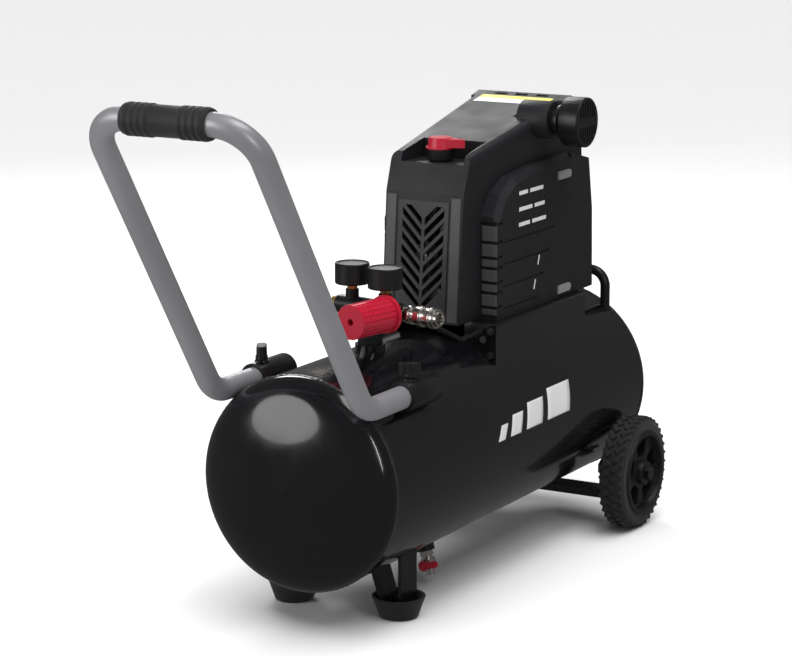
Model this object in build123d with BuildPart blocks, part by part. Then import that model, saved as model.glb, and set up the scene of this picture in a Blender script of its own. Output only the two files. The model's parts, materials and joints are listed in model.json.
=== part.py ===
"""Portable air compressor on a long horizontal tank, as an assembly of separate pieces.

Lengths are in millimetres. X runs from the push-handle end to the wheel end, +Y is the
machine's left and Z is up from the floor. X is measured from the tank's front weld seam
while the pieces are made, and every piece is then moved by CENTRE, so that the origin
ends up on the floor under the middle of the whole machine.
"""

from build123d import *
from math import cos, radians, sin, sqrt
import os

# Tank
TANK_R = 120
TANK_LEN = 622
TANK_WALL = 2.5
FLANGE = 1
AXIS_Z = 164
HEAD_DEPTH = 40
TANK_TOP = AXIS_Z + TANK_R

# Push handle and its sockets
TUBE_R = 12.7
TUBE_WALL = 1.8
SOCKET_R = 17
SOCKET_X = (53, 119)
SOCKET_Y = 94
SOCKET_Z = AXIS_Z + sqrt((TANK_R + TUBE_R + 1.4) ** 2 - SOCKET_Y**2)
HANDLE_BEND_X = -26
HANDLE_TOP = (-240, 584)
GRIP_R = 17
GRIP_LEN = 100
CLAMP_X = 71
SCREW_R = 3
KNOB_BASE_Z = SOCKET_Z + SOCKET_R + 2

# Wheels and feet
WHEEL_R = 70
WHEEL_X = 556
WHEEL_Y = (119.5, 157)
RIM_R = 52
AXLE_R = 6
FOOT_X = 94
FOOT_Y = 68
EAR_Y = WHEEL_Y[0] - 12
EAR_SHEET = 6
BRACKET_Z = (AXIS_Z - TANK_R - 10, AXIS_Z - TANK_R)

# Loop handle over the wheel end
LIFT_X = 612
LIFT_Y = 71
LIFT_Z = (256, 307)

# Saddle that carries the pump
SADDLE_X = (290, 525)
SADDLE_Y = 85
SADDLE_TOP = 296.5
SHEET = 3

# Plastic shroud
WALL = 3
HOOD_FRONT = (262, SADDLE_TOP)
HOOD_BROW = (274, 445)
HOOD_LIP = (290, 489)
CREST = (525, 535)
SPLIT_X = 503
REAR_X = 566
HOOD_HALF = (50, 66)
PANEL_Y = 75
PANEL_X = 312
PANEL_TOP = 469
PANEL_INNER_Y = 40
PANEL_CHAMFER = 7
REAR_OUTLINE = [(REAR_X, SADDLE_TOP), (REAR_X - 3, 394), (552, 457)]
REAR_CROWN = (546, 527)
GLAND_YZ = (36, 324)
POCKET_FLOOR = 477
SWITCH_XY = (315, 2)

# Pump, its crank along X and its bore upright
CRANK_Z = 374
BORE_X = 450
MOTOR_X = (318, 405)
STATOR_X = (330, 386)
WEB_X = 424
THROW = 15
ROD_LEN = 75
BORE_R = 25
FIT = 0.06
PIN_Z = CRANK_Z + THROW + ROD_LEN
CYLINDER_Z = CRANK_Z + 47
HEAD_Z = (480.5, 508)
INTAKE_Z = 514
DISCHARGE_X = 505

# Manifold, turned a little about its riser
RISER = (149, 0)
YAW = radians(10)
MANIFOLD_Z = 332
GAUGE_T = (-26, 22)
GAUGE_R = 19.5
GAUGE_Z = (357, 381)
REGULATOR_T = 36
COUPLER_R = 8.5

# Drain valve, screwed in a little to the right of the lowest line
DRAIN_X = 218
DRAIN_TILT = radians(15)
LEVER_REACH = 19

# Whole machine: from the grip's front to the rear head's crown
LOW_X = HANDLE_TOP[0] - GRIP_R
HIGH_X = TANK_LEN + FLANGE + HEAD_DEPTH
CENTRE = Location((-(LOW_X + HIGH_X) / 2, 0, 0))

TO_LEFT = (-sin(YAW), -cos(YAW), 0)
BASE = (Align.CENTER, Align.CENTER, Align.MIN)


def rod(start, direction, radius, length, mode=Mode.ADD):
    """Adds or cuts a round bar that begins at start and runs along direction."""
    with Locations(Plane(origin=start, z_dir=direction)):
        Cylinder(radius, length, align=BASE, mode=mode)


def taper(start, direction, low_r, high_r, length, mode=Mode.ADD):
    """Adds or cuts a cone that begins at start with radius low_r."""
    with Locations(Plane(origin=start, z_dir=direction)):
        Cone(low_r, high_r, length, align=BASE, mode=mode)


def hexagon(start, direction, across, length, mode=Mode.ADD):
    """Adds a hexagonal bar, measured across its flats."""
    with BuildSketch(Plane(origin=start, z_dir=direction)) as outline:
        RegularPolygon(across / 2, 6, major_radius=False)
    extrude(outline.sketch, amount=length, mode=mode)


def block(x, y, z, mode=Mode.ADD):
    """Adds or cuts a box between two limits on each axis."""
    with Locations(((x[0] + x[1]) / 2, (y[0] + y[1]) / 2, (z[0] + z[1]) / 2)):
        Box(x[1] - x[0], y[1] - y[0], z[1] - z[0], mode=mode)


def prism(plane, points, amount, both=False, mode=Mode.ADD):
    """Adds or cuts a straight-sided outline extruded from a plane."""
    with BuildSketch(plane) as outline:
        with BuildLine():
            Polyline(*points, close=True)
        make_face()
    extrude(outline.sketch, amount=amount, both=both, mode=mode)


def clear_of_tank(gap=0.0):
    """Cuts away whatever would reach into the tank's barrel."""
    rod((-50, 0, AXIS_Z), (1, 0, 0), TANK_R + gap, TANK_LEN + 100, Mode.SUBTRACT)


def manifold_point(t, out=0, z=MANIFOLD_Z):
    """Point t along the manifold from its riser and out towards the handle."""
    x = RISER[0] - t * sin(YAW) - out * cos(YAW)
    y = RISER[1] - t * cos(YAW) + out * sin(YAW)
    return (x, y, z)


FORWARD = (-cos(YAW), sin(YAW), 0)
OUTWARD = (sin(YAW), cos(YAW), 0)
DRAIN_DIR = (0, -sin(DRAIN_TILT), -cos(DRAIN_TILT))
DRAIN_SIDE = (0, -cos(DRAIN_TILT), sin(DRAIN_TILT))


def drain_point(depth, side=0, x=0):
    """Point below the barrel along the drain's own axis."""
    reach = TANK_R + depth
    y = reach * DRAIN_DIR[1] + side * DRAIN_SIDE[1]
    z = AXIS_Z + reach * DRAIN_DIR[2] + side * DRAIN_SIDE[2]
    return (DRAIN_X + x, y, z)


# ---------------------------------------------------------------- tank

with BuildPart() as tank_barrel:
    rod((0, 0, AXIS_Z), (1, 0, 0), TANK_R, TANK_LEN)
    rod((0, 0, AXIS_Z), (1, 0, 0), TANK_R - TANK_WALL, TANK_LEN, Mode.SUBTRACT)
    rod((*RISER, AXIS_Z), (0, 0, 1), 9, TANK_R + 5, Mode.SUBTRACT)
    rod((DISCHARGE_X, 0, AXIS_Z), (0, 0, 1), 7, TANK_R + 5, Mode.SUBTRACT)
    rod((DRAIN_X, 0, AXIS_Z), DRAIN_DIR, 5, TANK_R + 5, Mode.SUBTRACT)


with BuildPart() as tank_rear_head:
    inner_r = TANK_R - TANK_WALL
    inner_depth = HEAD_DEPTH - TANK_WALL
    brow = (TANK_LEN + FLANGE, AXIS_Z)
    with BuildSketch(Plane.XZ):
        with BuildLine():
            Polyline((TANK_LEN, AXIS_Z + inner_r), (TANK_LEN, TANK_TOP), (brow[0], TANK_TOP))
            EllipticalCenterArc(brow, HEAD_DEPTH, TANK_R, 0, arc_size=90)
            Line((brow[0] + HEAD_DEPTH, AXIS_Z), (brow[0] + inner_depth, AXIS_Z))
            EllipticalCenterArc(brow, inner_depth, inner_r, 0, arc_size=90)
            Line((brow[0], AXIS_Z + inner_r), (TANK_LEN, AXIS_Z + inner_r))
        make_face()
    revolve(axis=Axis((0, 0, AXIS_Z), (1, 0, 0)))

with BuildPart() as tank_front_head:
    mirror(tank_rear_head.part, about=Plane.YZ.offset(TANK_LEN / 2))

with BuildPart() as tank_bungs:
    rod((*RISER, TANK_TOP - 12), (0, 0, 1), 17, 20)
    rod((DISCHARGE_X, 0, TANK_TOP - 10), (0, 0, 1), 11, 18)
    rod(drain_point(-6), DRAIN_DIR, 11, 15)
    clear_of_tank()
    rod((*RISER, AXIS_Z), (0, 0, 1), 10.5, TANK_R + 30, Mode.SUBTRACT)
    rod((DISCHARGE_X, 0, AXIS_Z), (0, 0, 1), 6, TANK_R + 30, Mode.SUBTRACT)
    rod((DRAIN_X, 0, AXIS_Z), DRAIN_DIR, 5, TANK_R + 30, Mode.SUBTRACT)

with BuildPart() as saddle_plate:
    block(SADDLE_X, (-SADDLE_Y, SADDLE_Y), (AXIS_Z + 60, SADDLE_TOP))
    inner_x = (SADDLE_X[0] + SHEET, SADDLE_X[1] - SHEET)
    inner_y = SADDLE_Y - SHEET
    block(inner_x, (-inner_y, inner_y), (AXIS_Z, SADDLE_TOP - SHEET), Mode.SUBTRACT)
    block((0, TANK_LEN), (-44, 44), (AXIS_Z, SADDLE_TOP - SHEET), Mode.SUBTRACT)
    clear_of_tank()
    fillet(saddle_plate.edges().filter_by(Axis.X).group_by(Axis.Z)[-1], 2.5)
    rod((DISCHARGE_X, 0, SADDLE_TOP - 10), (0, 0, 1), 13, 20, Mode.SUBTRACT)

with BuildPart() as handle_sockets:
    for side in (-1, 1):
        start = (SOCKET_X[0], side * SOCKET_Y, SOCKET_Z)
        rod(start, (1, 0, 0), SOCKET_R, SOCKET_X[1] - SOCKET_X[0])
        rod((CLAMP_X, side * SOCKET_Y, SOCKET_Z), (0, 0, 1), 8, SOCKET_R + 1)
        block((75, 119), sorted((side * 84, side * 60)), (SOCKET_Z - 12, SOCKET_Z - 5))
    clear_of_tank()
    for side in (-1, 1):
        start = (SOCKET_X[0] - 1, side * SOCKET_Y, SOCKET_Z)
        rod(start, (1, 0, 0), TUBE_R + FIT, SOCKET_X[1] - SOCKET_X[0] - 4, Mode.SUBTRACT)
        start = (CLAMP_X, side * SOCKET_Y, SOCKET_Z)
        rod(start, (0, 0, 1), SCREW_R + FIT, 40, Mode.SUBTRACT)

with BuildPart() as rear_lift_handle:
    with BuildLine() as loop:
        FilletPolyline(
            (LIFT_X, -LIFT_Y, LIFT_Z[0]),
            (LIFT_X, -LIFT_Y, LIFT_Z[1]),
            (LIFT_X, LIFT_Y, LIFT_Z[1]),
            (LIFT_X, LIFT_Y, LIFT_Z[0]),
            radius=20,
        )
    with BuildSketch(Plane(origin=(LIFT_X, -LIFT_Y, LIFT_Z[0]), z_dir=(0, 0, 1))):
        Circle(6)
    sweep(path=loop.line)
    clear_of_tank()

# ---------------------------------------------------------------- feet and wheels

with BuildPart() as front_foot_bracket:
    for side in (-1, 1):
        strap = [(81, 110), (81, 14), (55, 14), (39, 64), (43, 66), (58, 18), (77, 18), (77, 110)]
        points = [(side * y, z) for y, z in strap]
        prism(Plane.YZ.offset(FOOT_X), points, 18, both=True)
    clear_of_tank()
    for side in (-1, 1):
        rod((FOOT_X, side * FOOT_Y, 0), (0, 0, 1), 4.1, 30, Mode.SUBTRACT)

with BuildPart() as foot_cups:
    for side in (-1, 1):
        centre = (FOOT_X, side * FOOT_Y, 0)
        taper(centre, (0, 0, 1), 21.5, 30, 24)
        taper((FOOT_X, side * FOOT_Y, 14), (0, 0, 1), 24, 27, 11, Mode.SUBTRACT)
        rod((FOOT_X, side * FOOT_Y, 5), (0, 0, 1), 4, 20, Mode.SUBTRACT)
    fillet(foot_cups.edges().group_by(Axis.Z)[0], 2)

with BuildPart() as wheel_bracket:
    block((WHEEL_X - 15, WHEEL_X + 15), (-EAR_Y, EAR_Y), BRACKET_Z)
    for side in (-1, 1):
        ear_y = sorted((side * EAR_Y, side * (EAR_Y - EAR_SHEET)))
        block((WHEEL_X - 15, WHEEL_X + 15), ear_y, (BRACKET_Z[0], WHEEL_R + 16))
    fillet(wheel_bracket.edges().filter_by(Axis.X).group_by(Axis.Z)[0], 6)
    fillet(wheel_bracket.edges().filter_by(Axis.Y).group_by(Axis.Z)[-1], 10)
    clear_of_tank()
    for side in (-1, 1):
        start = (WHEEL_X, side * (EAR_Y - 10), WHEEL_R)
        rod(start, (0, side, 0), AXLE_R, 20, Mode.SUBTRACT)

with BuildPart() as axle_bolts:
    for side in (-1, 1):
        inner = (WHEEL_X, side * (EAR_Y - 9), WHEEL_R)
        rod(inner, (0, side, 0), AXLE_R, WHEEL_Y[1] - EAR_Y + 15)
        rod((WHEEL_X, side * EAR_Y, WHEEL_R), (0, side, 0), 11, 4)
        hexagon((WHEEL_X, side * (EAR_Y - 12), WHEEL_R), (0, side, 0), 18, 6)
        hexagon((WHEEL_X, side * (WHEEL_Y[1] + 1), WHEEL_R), (0, side, 0), 16, 6)

with BuildPart() as frame_bolts:
    for side in (-1, 1):
        hexagon((FOOT_X, side * FOOT_Y, 18), (0, 0, 1), 13, 6)
        rod((FOOT_X, side * FOOT_Y, 5), (0, 0, 1), 4, 14)
        for y, z in ((79, 288), (70, 278), (79, 260)):
            hexagon((SADDLE_X[0], side * y, z), (-1, 0, 0), 8, 4)


def tyre(side):
    """Revolves one tyre with a crowned tread and rounded shoulders."""
    low, high = WHEEL_Y
    with BuildSketch(Plane.YZ.offset(WHEEL_X)) as profile:
        with BuildLine():
            Polyline(
                (side * (high - 4), WHEEL_R + 61),
                (side * (high - 2), WHEEL_R + RIM_R),
                (side * (low + 2), WHEEL_R + RIM_R),
                (side * (low + 4), WHEEL_R + 61),
            )
            ThreePointArc(
                (side * (low + 4), WHEEL_R + 61),
                (side * (low + 6), WHEEL_R + 67),
                (side * (low + 11), WHEEL_R * 2 - 0.6),
            )
            ThreePointArc(
                (side * (low + 11), WHEEL_R * 2 - 0.6),
                (side * (low + high) / 2, WHEEL_R * 2),
                (side * (high - 11), WHEEL_R * 2 - 0.6),
            )
            ThreePointArc(
                (side * (high - 11), WHEEL_R * 2 - 0.6),
                (side * (high - 6), WHEEL_R + 67),
                (side * (high - 4), WHEEL_R + 61),
            )
        make_face()
    revolve(profile.sketch, axis=Axis((WHEEL_X, 0, WHEEL_R), (0, 1, 0)))


def hub(side):
    """Adds one wheel hub: a rim, five tapered spokes and a bored centre boss."""
    low, high = WHEEL_Y
    middle = side * (low + 8)
    rod((WHEEL_X, side * low, WHEEL_R), (0, side, 0), RIM_R, high - low)
    rod((WHEEL_X, side * low, WHEEL_R), (0, side, 0), 45, 8, Mode.SUBTRACT)
    rod((WHEEL_X, side * (high - 7), WHEEL_R), (0, side, 0), 46, 8, Mode.SUBTRACT)
    rod((WHEEL_X, side * (low - 4), WHEEL_R), (0, side, 0), 15, high - low + 4.5)
    face = Plane(origin=(WHEEL_X, middle, WHEEL_R), x_dir=(1, 0, 0), z_dir=(0, side, 0))
    with BuildSketch(face) as windows:
        with PolarLocations(31, 5, start_angle=90):
            Trapezoid(32, 21, 72, rotation=90)
        fillet(windows.vertices(), 3)
    extrude(windows.sketch, amount=40, mode=Mode.SUBTRACT)
    rod((WHEEL_X, side * (low - 6), WHEEL_R), (0, side, 0), AXLE_R + FIT, 60, Mode.SUBTRACT)


with BuildPart() as wheel_right_tyre:
    tyre(-1)

with BuildPart() as wheel_left_tyre:
    tyre(1)

with BuildPart() as wheel_right_hub:
    hub(-1)

with BuildPart() as wheel_left_hub:
    hub(1)

# ---------------------------------------------------------------- drain valve

with BuildPart() as drain_valve_body:
    hexagon(drain_point(9), DRAIN_DIR, 15, 6)
    rod(drain_point(15), DRAIN_DIR, 6.5, 4)
    rod(drain_point(19), DRAIN_DIR, 8.5, 12)
    rod(drain_point(31), DRAIN_DIR, 5, 7)
    rod(drain_point(25), (-1, 0, 0), 4.5, 11)
    rod(drain_point(8), DRAIN_DIR, 3, 31, Mode.SUBTRACT)

with BuildPart() as drain_valve_lever:
    lever_plane = Plane(origin=drain_point(25, 0, -11.3), x_dir=DRAIN_SIDE, z_dir=(-1, 0, 0))
    with BuildSketch(lever_plane) as outline:
        Circle(6)
        with Locations((LEVER_REACH / 2, 0)):
            SlotOverall(LEVER_REACH, 8)
    extrude(outline.sketch, amount=3)
    rod(drain_point(25, 0, -14.3), (-1, 0, 0), 3.2, 2)

# ---------------------------------------------------------------- push handle

with BuildPart() as push_handle_tube:
    end_x = SOCKET_X[1] - 7
    top_x, top_z = HANDLE_TOP
    with BuildLine() as route:
        FilletPolyline(
            (end_x, -SOCKET_Y, SOCKET_Z),
            (HANDLE_BEND_X, -SOCKET_Y, SOCKET_Z),
            (top_x, -SOCKET_Y, top_z),
            (top_x, SOCKET_Y, top_z),
            (HANDLE_BEND_X, SOCKET_Y, SOCKET_Z),
            (end_x, SOCKET_Y, SOCKET_Z),
            radius=43,
        )
    with BuildSketch(Plane(origin=(end_x, -SOCKET_Y, SOCKET_Z), z_dir=(-1, 0, 0))):
        Circle(TUBE_R)
        Circle(TUBE_R - TUBE_WALL, mode=Mode.SUBTRACT)
    sweep(path=route.line)

with BuildPart() as push_handle_grip:
    rod((top_x, -GRIP_LEN / 2, top_z), (0, 1, 0), GRIP_R - 1, GRIP_LEN)
    for side in (-1, 1):
        for y in (20, 28, 36, 44):
            rod((top_x, side * y - 2.6, top_z), (0, 1, 0), GRIP_R, 5.2)
    rod((top_x, -GRIP_LEN / 2, top_z), (0, 1, 0), TUBE_R, GRIP_LEN, Mode.SUBTRACT)


def clamp_knob(side, turn):
    """Adds one ribbed wing knob with its clamping screw."""
    y = side * SOCKET_Y
    rod((CLAMP_X, y, SOCKET_Z + TUBE_R + 0.4), (0, 0, 1), SCREW_R, 12)
    rod((CLAMP_X, y, KNOB_BASE_Z), (0, 0, 1), 7, 4)
    wing = Plane(origin=(CLAMP_X, y, KNOB_BASE_Z + 1), x_dir=(cos(turn), sin(turn), 0))
    with BuildSketch(wing) as outline:
        SlotOverall(26, 12)
        with GridLocations(6.5, 12.6, 4, 2):
            Circle(1.6, mode=Mode.SUBTRACT)
    extrude(outline.sketch, amount=15, taper=2)


with BuildPart() as clamp_knob_right:
    clamp_knob(-1, radians(-60))

with BuildPart() as clamp_knob_left:
    clamp_knob(1, radians(30))

# ---------------------------------------------------------------- shroud

ROOF_SLOPE = (CREST[1] - HOOD_LIP[1]) / (CREST[0] - HOOD_LIP[0])
SPLIT_TOP = HOOD_LIP[1] + ROOF_SLOPE * (SPLIT_X - HOOD_LIP[0])


def half_width(x):
    """Half the hood's width at a station along the machine."""
    share = (x - HOOD_FRONT[0]) / (REAR_X - HOOD_FRONT[0])
    return HOOD_HALF[0] + share * (HOOD_HALF[1] - HOOD_HALF[0])


def plan_limits(inset=0.0):
    """Keeps only what lies between the shroud's two drafted side walls."""
    low_x, high_x = HOOD_FRONT[0] - 20, REAR_X + 20
    near, far = half_width(low_x) - inset, half_width(high_x) - inset
    points = [(low_x, -near), (high_x, -far), (high_x, far), (low_x, near)]
    prism(Plane.XY, points, 700, mode=Mode.INTERSECT)


HOOD_OUTLINE = [HOOD_FRONT, HOOD_BROW, HOOD_LIP, (SPLIT_X, SPLIT_TOP), (SPLIT_X, SADDLE_TOP)]

with BuildPart() as hood_envelope:
    prism(Plane.XZ, HOOD_OUTLINE, 90, both=True)
    plan_limits()
    high_edges = hood_envelope.edges().filter_by(lambda e: e.center().Z > 490)
    fillet(high_edges.filter_by(lambda e: abs(e.center().Y) > 40), 9)

LEAN = (HOOD_BROW[0] - HOOD_FRONT[0]) / (HOOD_BROW[1] - HOOD_FRONT[1])
FACE_PLANE = Plane(
    origin=(HOOD_FRONT[0], 0, HOOD_FRONT[1]), x_dir=(0, -1, 0), z_dir=(-1, 0, LEAN)
)
GRILLE_W = 66
GRILLE_H = 128
GRILLE_MID = 76
POCKET_X = (286, 340)
POCKET_Y = (-44, 38)
PANEL_OUTLINE = [
    (PANEL_X, SADDLE_TOP),
    (PANEL_X, 417),
    (329, 441),
    (358, 457),
    (420, 465),
    (SPLIT_X, PANEL_TOP),
    (SPLIT_X, SADDLE_TOP),
]

with BuildPart() as shroud_hood:
    add(hood_envelope.part)
    low_face = shroud_hood.faces().sort_by(Axis.Z)[0]
    back_face = shroud_hood.faces().sort_by(Axis.X)[-1]
    offset(amount=-WALL, openings=[low_face, back_face])
    # Pocket round the switch knob, open to the roof and to the front
    block(
        (POCKET_X[0] + 2, POCKET_X[1] + WALL),
        (POCKET_Y[0] - WALL, POCKET_Y[1] + WALL),
        (POCKET_FLOOR - WALL, 525),
    )
    add(hood_envelope.part, mode=Mode.INTERSECT)
    block((POCKET_X[0], POCKET_X[1]), POCKET_Y, (POCKET_FLOOR, 540), Mode.SUBTRACT)
    block((POCKET_X[0] - 10, POCKET_X[0] + 20), POCKET_Y, (486, 540), Mode.SUBTRACT)
    rod((*SWITCH_XY, POCKET_FLOOR - 10), (0, 0, 1), 8, 20, Mode.SUBTRACT)
    # Window for the grille
    with BuildSketch(FACE_PLANE.offset(5)) as window:
        with Locations((0, GRILLE_MID)):
            Rectangle(GRILLE_W, GRILLE_H)
    extrude(window.sketch, amount=-20, mode=Mode.SUBTRACT)
    # Side openings, a little inside the outline of the two panels that cover them
    with BuildSketch(Plane.XZ) as side_opening:
        with BuildLine():
            Polyline(*PANEL_OUTLINE, close=True)
        make_face()
        offset(amount=-WALL)
    extrude(side_opening.sketch, amount=90, both=True, mode=Mode.SUBTRACT)
    # Round boss that the air intake comes out of
    rod((BORE_X, -38, INTAKE_Z), (0, -1, 0), 22.5, 40)
    rod((BORE_X, -30, INTAKE_Z), (0, -1, 0), 16.3, 80, Mode.SUBTRACT)

BLOCK_EDGES = (409, 388, 370, 358, 341, 329, 312)

with BuildPart() as side_panel_right:
    prism(Plane.XZ.offset(PANEL_INNER_Y), PANEL_OUTLINE, PANEL_Y - PANEL_INNER_Y)
    outer_face = side_panel_right.faces().sort_by(Axis.Y)[0]
    rim = outer_face.edges().filter_by(lambda e: e.center().Z > 420)
    chamfer(rim, PANEL_CHAMFER)
    with BuildSketch(Plane.XZ.offset(PANEL_INNER_Y)) as hollow:
        with BuildLine():
            Polyline(*PANEL_OUTLINE, close=True)
        make_face()
        offset(amount=-WALL)
    depth = PANEL_Y - PANEL_INNER_Y - WALL
    extrude(hollow.sketch, amount=depth - PANEL_CHAMFER, mode=Mode.SUBTRACT)
    with BuildSketch(Plane.XZ.offset(PANEL_INNER_Y)) as deep_hollow:
        with BuildLine():
            Polyline(*PANEL_OUTLINE, close=True)
        make_face()
        offset(amount=-WALL - PANEL_CHAMFER)
    extrude(deep_hollow.sketch, amount=depth, mode=Mode.SUBTRACT)
    add(hood_envelope.part, mode=Mode.SUBTRACT)
    # Stepped blocks down the front edge and shallow ribs across the face
    for z in BLOCK_EDGES:
        block((PANEL_X - 1, PANEL_X + 2), (-90, 0), (z - 1.5, z + 1.5), Mode.SUBTRACT)
        block((PANEL_X - 1, PANEL_X + 12), (-90, -73.4), (z - 1.5, z + 1.5), Mode.SUBTRACT)
    for step, length in enumerate((132, 118, 104, 90)):
        z = 386 - 26 * step
        block((326, 326 + length), (-90, -73.9), (z - 1.2, z + 1.2), Mode.SUBTRACT)

with BuildPart() as side_panel_left:
    mirror(side_panel_right.part, about=Plane.XZ)

with BuildPart() as shroud_rear:
    profile = [(SPLIT_X, SADDLE_TOP), *REAR_OUTLINE]
    prism(Plane.XZ, profile + [REAR_CROWN, CREST, (SPLIT_X, SPLIT_TOP)], 90, both=True)
    plan_limits()
    prism(Plane.XZ, profile + [(SPLIT_X, PANEL_TOP)], PANEL_Y, both=True)
    low_face = shroud_rear.faces().sort_by(Axis.Z)[0]
    front_face = shroud_rear.faces().sort_by(Axis.X)[0]
    offset(amount=-WALL, openings=[low_face, front_face])
    for y in (-36, -8, 20):
        block((514, 520), (y, y + 16), (525, 540), Mode.SUBTRACT)
    rod((REAR_X - 20, *GLAND_YZ), (1, 0, 0), 7, 40, Mode.SUBTRACT)

with BuildPart() as vent_grille:
    with BuildSketch(FACE_PLANE.offset(-WALL)) as plate:
        with Locations((0, GRILLE_MID)):
            Rectangle(GRILLE_W, GRILLE_H)
    extrude(plate.sketch, amount=WALL + 1)
    with BuildSketch(FACE_PLANE.offset(-8)) as slots:
        for step in range(8):
            z = GRILLE_MID - 62 + 14 * step
            for side in (-1, 1):
                with BuildLine():
                    Polyline(
                        (side * 2, z),
                        (side * 27, z + 25),
                        (side * 27, z + 33),
                        (side * 2, z + 8),
                        close=True,
                    )
                make_face()
        with Locations((0, GRILLE_MID)):
            Rectangle(54, 116, mode=Mode.INTERSECT)
    extrude(slots.sketch, amount=20, mode=Mode.SUBTRACT)

# ---------------------------------------------------------------- pressure switch

with BuildPart() as pressure_switch_body:
    x, y = SWITCH_XY
    block((x - 22, x + 22), (y - 20, y + 20), (438, POCKET_FLOOR - WALL))
    rod((x, y, POCKET_FLOOR - WALL - 1), (0, 0, 1), 7.9, 5)
    rod((x, y, 459), (0, 0, 1), 4 + FIT, 40, Mode.SUBTRACT)

with BuildPart() as pressure_switch_knob:
    x, y = SWITCH_XY
    taper((x, y, POCKET_FLOOR + 1.5), (0, 0, 1), 14.5, 17, 15)
    taper((x, y, POCKET_FLOOR + 16.5), (0, 0, 1), 15, 13.5, 11)
    arrow = [(x - 11, y - 8), (x, y - 32), (x + 11, y - 8)]
    prism(Plane.XY.offset(POCKET_FLOOR + 16.5), arrow, 10)
    rod((x, y, 462), (0, 0, 1), 4, 20)

# ---------------------------------------------------------------- manifold

with BuildPart() as riser_pipe:
    rod((*RISER, TANK_TOP), (0, 0, 1), 10.5, 8)
    hexagon((*RISER, TANK_TOP + 8), (0, 0, 1), 24, 12)
    rod((*RISER, TANK_TOP + 20), (0, 0, 1), 10, 15)
    rod((*RISER, TANK_TOP - 9), (0, 0, 1), 6, 50, Mode.SUBTRACT)

with BuildPart() as manifold_block:
    rod(manifold_point(-44), TO_LEFT, 11, 87)
    rod((*RISER, TANK_TOP + 35), (0, 0, 1), 13, MANIFOLD_Z - TANK_TOP - 35)
    for t in GAUGE_T:
        rod(manifold_point(t), (0, 0, 1), 7.5, GAUGE_Z[0] - 6 - MANIFOLD_Z)
    rod(manifold_point(REGULATOR_T), FORWARD, 7, 12)
    rod(manifold_point(-50), TO_LEFT, 5, 87, Mode.SUBTRACT)

with BuildPart() as gauge_stems:
    for t in GAUGE_T:
        hexagon(manifold_point(t, 0, GAUGE_Z[0] - 6), (0, 0, 1), 10, 6)

with BuildPart() as gauge_cases:
    low, high = GAUGE_Z
    for t in GAUGE_T:
        rod(manifold_point(t, 0, low), (0, 0, 1), GAUGE_R, high - low)
    fillet(gauge_cases.edges().group_by(Axis.Z)[0], 2)
    chamfer(gauge_cases.edges().group_by(Axis.Z)[-1], 0.8)
    for t in GAUGE_T:
        rod(manifold_point(t, 0, low + 3), (0, 0, 1), GAUGE_R - 1.7, 30, Mode.SUBTRACT)

with BuildPart() as gauge_dials:
    for t in GAUGE_T:
        rod(manifold_point(t, 0, GAUGE_Z[1] - 9), (0, 0, 1), GAUGE_R - 1.7, 1.5)
        rod(manifold_point(t, 0, GAUGE_Z[0]), (0, 0, 1), 0.9, 30, Mode.SUBTRACT)

with BuildPart() as gauge_lenses:
    for t in GAUGE_T:
        rod(manifold_point(t, 0, GAUGE_Z[1] - 3), (0, 0, 1), GAUGE_R - 1.7, 1.5)


def needle(t):
    """Adds one gauge pointer with its hub and pivot pin."""
    x, y, z = manifold_point(t, 0, GAUGE_Z[1] - 7)
    rod((x, y, z - 5), (0, 0, 1), 0.85, 6)
    rod((x, y, z), (0, 0, 1), 2.2, 2)
    with BuildSketch(Plane(origin=(x, y, z + 0.6), x_dir=(-0.5, -0.87, 0))) as outline:
        with Locations((-3, 0)):
            Trapezoid(1.4, 20, 88, rotation=-90, align=(Align.CENTER, Align.MIN))
    extrude(outline.sketch, amount=0.8)


with BuildPart() as gauge_needle_left:
    needle(GAUGE_T[0])

with BuildPart() as gauge_needle_right:
    needle(GAUGE_T[1])

with BuildPart() as regulator_body:
    rod(manifold_point(REGULATOR_T, 12), FORWARD, 16.5, 14)
    rod(manifold_point(REGULATOR_T, 26), FORWARD, 6, 30)

with BuildPart() as regulator_knob:
    rod(manifold_point(REGULATOR_T, 14), FORWARD, 21.5, 5)
    rod(manifold_point(REGULATOR_T, 19), FORWARD, 19.5, 57)
    knob_plane = Plane(
        origin=manifold_point(REGULATOR_T, 21), x_dir=(0, 0, 1), z_dir=FORWARD
    )
    with BuildSketch(knob_plane) as flutes:
        with PolarLocations(20.3, 20):
            Circle(1.5)
    extrude(flutes.sketch, amount=60, mode=Mode.SUBTRACT)
    rod(manifold_point(REGULATOR_T, 14), FORWARD, 16.8, 12.5, Mode.SUBTRACT)
    rod(manifold_point(REGULATOR_T, 14), FORWARD, 6 + FIT, 44, Mode.SUBTRACT)
    rod(manifold_point(REGULATOR_T, 62), FORWARD, 4, 20, Mode.SUBTRACT)

with BuildPart() as safety_valve_body:
    hexagon(manifold_point(-44), OUTWARD, 15, 8)
    rod(manifold_point(-52), OUTWARD, 5.5, 6)
    rod(manifold_point(-44), OUTWARD, 1.5 + FIT, 20, Mode.SUBTRACT)

with BuildPart() as safety_valve_ring:
    rod(manifold_point(-48), OUTWARD, 1.5, 14)
    ring_plane = Plane(origin=manifold_point(-67), x_dir=OUTWARD, z_dir=FORWARD)
    with Locations(ring_plane):
        Torus(6, 1.2)

with BuildPart() as coupler_body:
    hexagon(manifold_point(43), TO_LEFT, 17, 9)
    rod(manifold_point(52), TO_LEFT, 8, 6)
    rod(manifold_point(58), TO_LEFT, 10.5, 5)
    rod(manifold_point(63), TO_LEFT, COUPLER_R, 37)
    rod(manifold_point(70), TO_LEFT, 6, 31, Mode.SUBTRACT)
    rod(manifold_point(42), TO_LEFT, 4, 60, Mode.SUBTRACT)

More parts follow.
